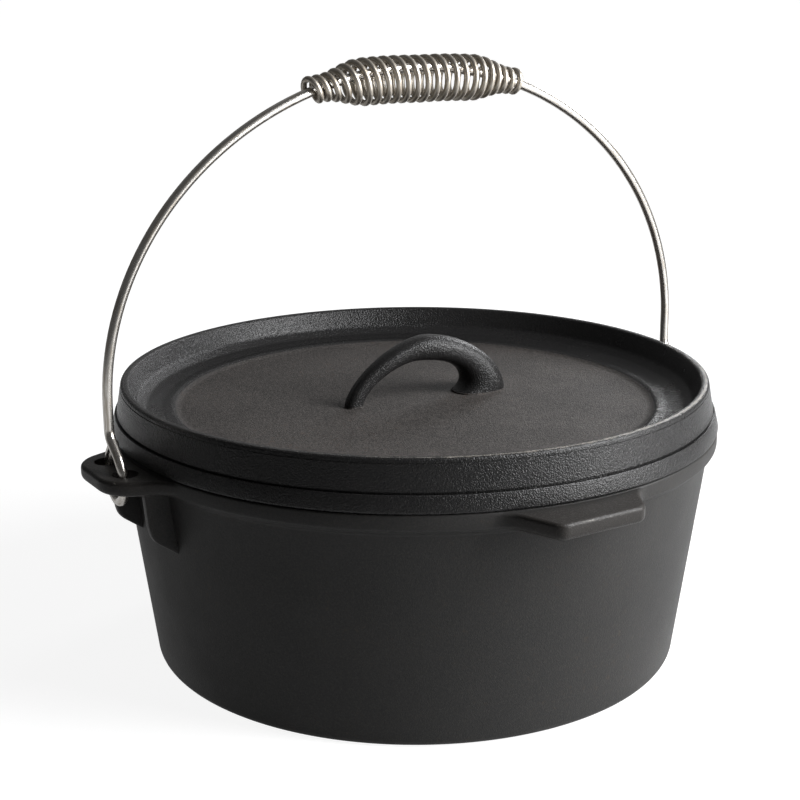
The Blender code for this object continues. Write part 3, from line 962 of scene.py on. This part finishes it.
@dataclass
class LidCasting:
    """The lid: flange, stepped rail, dished tray and locating lip, with its arch handle."""

    role: Role = Role("lid", "lid", "lid_iron")
    steps: int = 240
    seat: float = 118.1
    flange_radius: float = 152.9
    flange_top_radius: float = 150.9
    flange_top: float = 126.2
    rail_radius: float = 150.0
    rail_top_radius: float = 147.3
    rail_start: float = 1.0
    step_groove: tuple[Point, ...] = ((0.35, 0.0), (0.15, -1.0), (-0.8, -1.0), (-0.8, 0.8))
    parting: tuple[Point, ...] = ((138.9, 0.0), (139.05, 0.28), (139.4, 0.28), (139.55, 0.0))
    crest: float = 141.5
    crest_inner: float = 143.6
    wall_foot: Point = (139.5, 131.6)
    ledge: Point = (134.9, 128.3)
    groove: Point = (127.5, 127.3)
    shoulder: Point = (122.6, 127.6)
    plate_radius: float = 118.6
    plate_top: float = 126.0
    plate_thick: float = 6.0
    plate_rings: tuple[float, ...] = (100.0, 80.0, 60.0, 40.0, 20.0, 0.0)
    under_ring: float = 60.0
    lip_outer: float = 142.7
    lip_depth: float = 4.0
    lip_thick: float = 5.0
    lip_lean: float = 0.6
    lip_round: Rounding = (1.2, 4)
    flange_rounds: tuple[Rounding, ...] = ((0.9, 5), (0.5, 4))
    crest_round: Rounding = (1.71, 6)
    tray_rounds: tuple[Rounding, ...] = ((4.0, 7), (5.0, 5), (6.0, 5), (4.0, 5), (8.0, 6))
    arch_centre: Point = (6.6, 0.2)
    arch_turn_deg: float = -4.3
    arch_outer: Point = (45.1, 32.6)
    arch_outer_powers: Point = (1.28, 1.11)
    arch_inner: Point = (30.0, 20.1)
    arch_inner_powers: Point = (1.24, 0.85)
    arch_inner_shift: float = -5.9
    arch_flare: Point = (8.6, 3.7)
    arch_widths: Point = (8.2, 20.0)
    arch_steps: int = 72
    arch_sides: int = 40
    arch_bury: float = 3.0
    arch_gap: float = 0.02
    arch_blend: float = 6.0
    arch_squareness: float = 0.8

    def rail_at(self, height: float) -> float:
        """Gives the rail's outer radius at a height."""
        share = (height - self.flange_top) / (self.crest - self.flange_top)
        return self.rail_radius + (self.rail_top_radius - self.rail_radius) * share

    def profile(self) -> list[Point]:
        """Draws the lid's half section from the underside's centre to the plate's centre."""
        under = self.plate_top - self.plate_thick
        lip_inner = self.lip_outer - self.lip_thick
        lip_low = self.seat - self.lip_depth
        rail_foot = (self.rail_radius, self.flange_top)
        rail_low = self.flange_top + self.rail_start
        points = [(0.0, under), (self.under_ring, under), (self.plate_radius, under)]
        points += [(self.ledge[0] - self.lip_thick, self.ledge[1] - self.plate_thick)]
        points += [(lip_inner, self.seat), (lip_inner + self.lip_lean, lip_low)]
        path = [(lip_inner, lip_low), (self.lip_outer, lip_low), (self.lip_outer, self.seat)]
        points += round_off(path, [self.lip_round])
        points += [(self.lip_outer, self.seat)]
        path = [
            (self.lip_outer, self.seat),
            (self.flange_radius, self.seat),
            (self.flange_top_radius, self.flange_top),
            rail_foot,
        ]
        points += round_off(path, self.flange_rounds)
        points += [(self.rail_radius + out, self.flange_top + up) for out, up in self.step_groove]
        points += [(self.rail_at(rail_low), rail_low)]
        points += [(self.rail_at(height) - sunk, height) for height, sunk in self.parting]
        path = [
            rail_foot,
            (self.rail_top_radius, self.crest),
            (self.crest_inner, self.crest),
            self.wall_foot,
            self.ledge,
            self.groove,
            self.shoulder,
            (self.plate_radius, self.plate_top),
            (0.0, self.plate_top),
        ]
        points += round_off(path, [self.crest_round, self.crest_round, *self.tray_rounds])
        return points + [(radius, self.plate_top) for radius in self.plate_rings]

    def arch_line(self, angle: float, spans: Point, powers: Point) -> tuple[Vector, float]:
        """Gives a point of an arch line, whose two halves bulge by their own powers.

        Args:
            angle: From 0 at the left foot to pi at the right.
            spans: Half length and height of the arch.
            powers: How square the left and the right half are.

        Returns:
            The point in the handle's plane and how far over to the right half it is.
        """
        c = math.cos(angle)
        right = 1 / (1 + math.exp(self.arch_blend * c))
        power = powers[0] * (1 - right) + powers[1] * right
        across = -spans[0] * math.copysign(abs(c) ** power, c)
        return Vector((across, 0.0, spans[1] * math.sin(angle) ** power)), right

    def arch_station(self, t: float) -> tuple[Vector, Vector, float]:
        """Gives the middle, half thickness and half width of the handle at t from 0 to 1."""
        angle = self.arch_gap + (math.pi - 2 * self.arch_gap) * t
        outer, _ = self.arch_line(angle, self.arch_outer, self.arch_outer_powers)
        inner, right = self.arch_line(angle, self.arch_inner, self.arch_inner_powers)
        flare, height = self.arch_flare
        inner.x += self.arch_inner_shift - flare * right * math.exp(-inner.z / height)
        narrow, wide = self.arch_widths
        width = narrow + (wide - narrow) * smoothstep(t)
        return (outer + inner) / 2, (outer - inner) / 2, width / 2

    def arch(self) -> Object:
        """Models the handle: a disc extruded station by station, each ring then set on the arch.

        Returns:
            The handle, its feet buried in the plate.
        """
        shown = [self.arch_station(i / self.arch_steps) for i in range(self.arch_steps + 1)]
        sink = Vector((0, 0, -self.arch_bury))
        feet = [
            (middle + sink, Vector((thick.x, 0.0, 0.0)), width)
            for middle, thick, width in (shown[0], shown[-1])
        ]
        stations = [feet[0], *shown, feet[1]]
        deselect()
        bpy.ops.mesh.primitive_circle_add(vertices=self.arch_sides, radius=MM, fill_type="NGON")
        arch = bpy.context.active_object
        arch.name = arch.data.name = "arch"
        bpy.ops.object.mode_set(mode="EDIT")
        for _ in stations[1:]:
            bpy.ops.mesh.extrude_region_move(TRANSFORM_OT_translate={"value": (0, 0, MM)})
        bpy.ops.object.mode_set(mode="OBJECT")
        for vert in arch.data.vertices:
            middle, thick, width = stations[round(vert.co.z / MM)]
            angle = math.atan2(vert.co.y, vert.co.x)
            c, s = (
                math.copysign(abs(part) ** self.arch_squareness, part)
                for part in (math.cos(angle), math.sin(angle))
            )
            vert.co = (middle + thick * c + Vector((0, width * s, 0))) * MM
        turn(arch, self.arch_turn_deg)
        arch.data.transform(Matrix.Translation(Vector((*self.arch_centre, self.plate_top)) * MM))
        hold(arch)
        bpy.ops.object.mode_set(mode="EDIT")
        bpy.ops.mesh.select_all(action="SELECT")
        bpy.ops.mesh.normals_make_consistent(inside=False)
        bpy.ops.object.mode_set(mode="OBJECT")
        return arch

    def build(self) -> Object:
        """Models the casting.

        Returns:
            The finished piece.
        """
        lid = turn_on_axis("lid_casting", self.profile(), self.steps)
        combine(lid, self.arch(), Joining.UNION)
        hold(lid)
        bpy.ops.object.shade_smooth_by_angle(angle=CRISP_ANGLE)
        return lid


@dataclass
class BailWire:
    """The bail: one wire bent in a half ellipse, with a coiled eye through each ear."""

    role: Role = Role("bail", "bail", "bail_steel")
    diameter: float = 4.7
    half_width: float = 164.7
    shoulder: float = 147.9
    rise: float = 144.1
    eye_radius: float = 13.5
    eye_height: float = 115.3
    eye_start_deg: float = 130.0
    eye_end_deg: float = 412.0
    eye_tail: float = 1.5
    eye_end_x: float = 159.9
    eye_steps: int = 48
    crown_steps: int = 96
    leg_bend: Rounding = (8.0, 10)
    resolution: int = 6

    def on_eye(self, angle: float) -> Point:
        """Gives a point of the eye's circle as seen along the hinge line."""
        y, z = self.eye_radius * math.cos(angle), self.eye_radius * math.sin(angle)
        return y, self.eye_height + z

    def half(self) -> list[Vector]:
        """Draws the centre line from the right shoulder down through the ear to the cut end."""
        start = math.radians(self.eye_start_deg)
        begin = Vector(self.on_eye(start))
        heading = Vector((-math.sin(start), math.cos(start)))
        meet = begin - heading * (begin.x / heading.x)
        bend = rounded((0.0, self.shoulder), tuple(meet), tuple(begin), *self.leg_bend)
        points = [Vector((self.half_width, y, z)) for y, z in bend]
        for i in range(self.eye_steps + 1):
            t = i / self.eye_steps
            angle = math.radians(self.eye_start_deg + (self.eye_end_deg - self.eye_start_deg) * t)
            x = self.half_width + (self.eye_end_x - self.half_width) * smoothstep(t)
            points.append(Vector((x, *self.on_eye(angle))))
        run_out = (points[-1] - points[-2]).normalized()
        return points + [points[-1] + run_out * self.eye_tail]

    def build(self) -> Object:
        """Models the wire.

        Returns:
            The finished piece.
        """
        right = self.half()
        crown = []
        for i in range(self.crown_steps + 1):
            angle = math.pi * i / self.crown_steps
            height = self.shoulder + self.rise * math.sin(angle)
            crown.append(Vector((self.half_width * math.cos(angle), 0.0, height)))
        left = [Vector((-p.x, p.y, p.z)) for p in right]
        points = [p * MM for p in [*reversed(right), *crown, *left]]
        return draw_wire("bail_wire", points, self.diameter, self.resolution)


@dataclass
class CoilSpring:
    """The grip: one steel spring wound as a barrel along the crown of the bail."""

    role: Role = Role("grip", "coil_grip", "grip_steel")
    wire: float = 3.0
    turns: int = 23
    turn_points: int = 24
    cad_points: int = 10
    middle_diameter: float = 23.2
    end_diameter: float = 13.8
    middle_turns: float = 11.0
    end_turns: float = 1.5
    length: float = 120.0
    shift: float = 2.1
    crowding: float = 0.1
    clearance: float = 0.4
    rise_power: float = 1.5
    bail_wire: float = BailWire.diameter
    centre_z: float = 106.8
    crown_radius: float = 185.2
    resolution: int = 4

    def radii(self) -> Point:
        """Gives the radius of the wire's centre in the coil's middle and at its ends."""
        return (self.middle_diameter - self.wire) / 2, (self.end_diameter - self.wire) / 2

    def radius(self, turn_count: float) -> float:
        """Gives the radius of the wire's centre at a turn counted from the middle."""
        middle, end = self.radii()
        fade = self.turns / 2 - self.end_turns - self.middle_turns / 2
        share = smoothstep((abs(turn_count) - self.middle_turns / 2) / fade)
        return middle + (end - middle) * share

    def offset(self, u: float) -> float:
        """Gives how far the coil's centre line stands outside the bail's, at u from -1 to 1."""
        middle, end = self.radii()
        chord = math.cos(math.pi / self.cad_points)
        taken = (self.wire + self.bail_wire) / 2 + self.clearance
        low = -(middle * chord - taken)
        high = end * chord - taken
        return low + (high - low) * abs(u) ** self.rise_power

    def build(self) -> Object:
        """Models the spring.

        Returns:
            The finished piece.
        """
        points = []
        count = self.turns * self.turn_points
        for i in range(count + 1):
            u = 2 * i / count - 1
            along = self.length / 2 * (u + self.crowding * (u - u**3))
            tilt = (along + self.shift) / self.crown_radius
            radial = Vector((math.sin(tilt), 0.0, math.cos(tilt)))
            centre = Vector((0, 0, self.centre_z)) + radial * (self.crown_radius + self.offset(u))
            angle = math.tau * i / self.turn_points
            out = Vector((0, 1, 0)) * math.cos(angle) + radial * math.sin(angle)
            points.append(centre + out * self.radius(self.turns * u / 2))
        first = points[0] + (points[0] - points[1]).normalized() * self.wire
        last = points[-1] + (points[-1] - points[-2]).normalized() * self.wire
        points = [p * MM for p in [first, *points, last]]
        return draw_wire("coil_spring", points, self.wire, self.resolution)


# Studio


def swung(first: Vector, second: Vector, angle: float) -> tuple[Vector, Vector]:
    """Turns two axes at right angles to each other in their own plane."""
    c, s = math.cos(angle), math.sin(angle)
    return first * c - second * s, first * s + second * c


@dataclass(frozen=True)
class Softbox:
    """A square area lamp that looks at the pot, in metres and watts."""

    name: str
    place: Place
    size: float
    power: float
    colour: Colour = (0.97, 0.98, 1.0)
    aim: Place = (0.0, 0.0, 0.12)

    def hang(self) -> None:
        """Adds the lamp to the scene."""
        bpy.ops.object.light_add(type="AREA", location=self.place)
        lamp = bpy.context.active_object
        lamp.name = self.name
        lamp.data.size = self.size
        lamp.data.energy = self.power
        lamp.data.color = self.colour
        lamp.visible_camera = False
        away = Vector(self.place) - Vector(self.aim)
        lamp.rotation_euler = away.to_track_quat("Z", "Y").to_euler()


@dataclass
class Studio:
    """The camera, the lamps, the white surround and the floor, in metres and radians."""

    focal_length: float = 72.74
    sensor: float = 36.0
    clip_start: float = 0.01
    camera_place: Place = (-0.4208, -0.6733, 0.3504)
    heading_deg: float = 32.0
    elevation_deg: float = 19.26
    yaw: float = -0.0088
    pitch: float = 0.0599
    roll: float = 0.0011
    ambient: float = 0.09
    floor_size: float = 60.0
    floor_drop: float = 0.0002
    floor_grey: float = 0.4
    floor_grey_seen: float = 0.3
    floor_roughness: float = 0.9
    glow_fade: Point = (0.3, 0.9)
    glow: Point = (0.90, 1.0)
    sheen_fade: Point = (0.8, 2.5)
    sheen: Point = (0.42, 0.06)
    behind: Place = (0.53, 0.848, 0.0)
    beside: Place = (0.848, -0.53, 0.0)
    behind_fade: Point = (-0.3, 0.6)
    beside_fade: Point = (-0.5, 0.4)
    beside_low: float = 0.3
    room_dim: float = 0.08
    room_white: float = 0.42
    lamps: tuple[Softbox, ...] = (
        Softbox("key_right", (0.62, -0.82, 0.40), 0.5, 14.0, (1.0, 1.0, 1.0), (0.0, 0.0, 0.1)),
        Softbox("key_high", (0.40, -0.46, 0.64), 0.4, 8.8),
        Softbox("back_right", (0.82, 0.50, 0.47), 0.25, 2.0),
    )

    def set_camera(self) -> None:
        """Puts the camera where the photograph was taken from."""
        heading, elevation = math.radians(self.heading_deg), math.radians(self.elevation_deg)
        c, s = math.cos(heading), math.sin(heading)
        ce, se = math.cos(elevation), math.sin(elevation)
        side = Vector((c, -s, 0))
        over = Vector((s * se, c * se, ce))
        ahead = Vector((s * ce, c * ce, -se))
        side, ahead = swung(side, ahead, self.yaw)
        over, ahead = swung(over, ahead, self.pitch)
        side, over = swung(side, over, self.roll)
        bpy.ops.object.camera_add()
        camera = bpy.context.active_object
        camera.data.lens = self.focal_length
        camera.data.sensor_width = self.sensor
        camera.data.clip_start = self.clip_start
        matrix = Matrix((side, over, -ahead)).transposed().to_4x4()
        matrix.translation = self.camera_place
        camera.matrix_world = matrix
        bpy.context.scene.camera = camera

    @staticmethod
    def ray_kinds(sheet: NodeSheet) -> tuple[NodeSocket, NodeSocket]:
        """Gives whether a ray comes from the camera, and whether from a mirroring surface."""
        path = sheet.add("ShaderNodeLightPath").outputs
        mirrored = sheet.math("MAXIMUM", path["Is Glossy Ray"], path["Is Transmission Ray"])
        return path["Is Camera Ray"], mirrored

    def surround(self) -> None:
        """Makes a white surround that camera and mirror rays see, over a dimmer soft fill."""
        world = bpy.data.worlds.new("white_surround")
        bpy.context.scene.world = world
        world.use_nodes = True
        sheet = NodeSheet(world.node_tree)
        seen, mirrored = self.ray_kinds(sheet)
        ray = sheet.add("ShaderNodeTexCoord").outputs["Generated"]
        back = sheet.span(sheet.dot(ray, self.behind), *self.behind_fade)
        right = sheet.span(sheet.dot(ray, self.beside), *self.beside_fade, self.beside_low, 1.0)
        lit = sheet.times(back, right)
        white = sheet.span(lit, 0.0, 1.0, self.room_dim, self.room_white)
        strength = sheet.span(mirrored, 0.0, 1.0, self.ambient, 1.0)
        strength = sheet.times(strength, white)
        strength = sheet.math("MAXIMUM", strength, seen)
        sheet.feed(world.node_tree.nodes["Background"], {"Color": WHITE, "Strength": strength})

    def floor(self) -> None:
        """Lays a pale floor that reads white to the camera and keeps the pot's shadow."""
        place = (0, 0, -self.floor_drop)
        bpy.ops.mesh.primitive_plane_add(size=self.floor_size, location=place)
        floor = bpy.context.active_object
        floor.name = "studio_floor"
        made, sheet, shader = start_material("floor_white")
        seen, mirrored = self.ray_kinds(sheet)
        spot = sheet.add("ShaderNodeTexCoord").outputs["Object"]
        away = sheet.add("ShaderNodeVectorMath", {0: spot}, operation="LENGTH").outputs["Value"]
        glow = sheet.times(seen, sheet.span(away, *self.glow_fade, *self.glow))
        sheen = sheet.times(mirrored, sheet.span(away, *self.sheen_fade, *self.sheen))
        greys = ((grey, grey, grey, 1.0) for grey in (self.floor_grey, self.floor_grey_seen))
        feeds = {
            "Base Color": sheet.blend(seen, *greys),
            "Roughness": self.floor_roughness,
            "Specular IOR Level": 0.0,
            "Emission Color": WHITE,
            "Emission Strength": sheet.math("ADD", glow, sheen),
        }
        sheet.feed(shader, feeds)
        floor.data.materials.append(made)

    def build(self) -> None:
        """Sets up the whole studio."""
        deselect()
        self.set_camera()
        self.surround()
        self.floor()
        for lamp in self.lamps:
            lamp.hang()
        bpy.context.scene.view_settings.view_transform = "Standard"


def build_finishes(effects: EffectLibrary) -> dict[str, Material]:
    """Builds each piece's material.

    Args:
        effects: The shared node groups.

    Returns:
        The materials by the name of the piece's body.
    """
    pot = CastIronFinish(
        name="pot_cast_iron",
        dark=(0.020, 0.020, 0.020),
        warm=(0.026, 0.025, 0.024),
        skin=(0.023, 0.021, 0.0195),
        rust=(0.034, 0.028, 0.023),
        rubbed_and_lit=(0.24, 0.225, 0.20),
        roughness=0.52,
        skin_roughness=0.46,
        specular=0.2,
        grain_depth=0.18,
        skin_reach=155.0,
        skin_height=ABOVE_ALL,
        rings=(Ring(171.9, 116.7, 1.8, 0.85),),
    )
    lid = CastIronFinish(
        name="lid_cast_iron",
        dark=(0.022, 0.0198, 0.0186),
        warm=(0.068, 0.0614, 0.0573),
        skin=(0.0118, 0.0116, 0.0118),
        rust=(0.060, 0.040, 0.030),
        rubbed_and_lit=(0.18, 0.165, 0.145),
        roughness=0.60,
        skin_roughness=0.28,
        specular=0.25,
        grain_depth=0.52,
        skin_reach=122.0,
        skin_height=126.8,
        # Painted highlight: the crest ring is lighter on its front-right side, where the lamps
        # fall.
        rings=(Ring(145.8, 141.4, 2.6, 1.0, (0.26, -0.97, 0.0)),),
    )
    bail = SteelWireFinish(
        name="drawn_bail_steel",
        bright=(0.74, 0.72, 0.69),
        dull=(0.30, 0.25, 0.185),
        roughness=0.22,
        film=0.7,
        length=160.0,
    )
    grip = SteelWireFinish(
        name="spring_steel",
        bright=(0.52, 0.49, 0.44),
        dull=(0.27, 0.225, 0.17),
        roughness=0.40,
        film=0.8,
        length=320.0,
    )
    return {
        "pot": pot.material(effects),
        "lid": lid.material(effects),
        "bail": bail.material(effects),
        "grip": grip.material(effects),
    }


def main() -> None:
    """Builds the studio and the four pieces, in order."""
    logging.basicConfig(level=logging.INFO, format="%(name)s: %(message)s")
    Studio().build()
    finishes = build_finishes(EffectLibrary.build())
    for piece in (PotCasting(), LidCasting(), BailWire(), CoilSpring()):
        piece.role.give(piece.build(), finishes[piece.role.body])


if __name__ == "__main__":
    main()
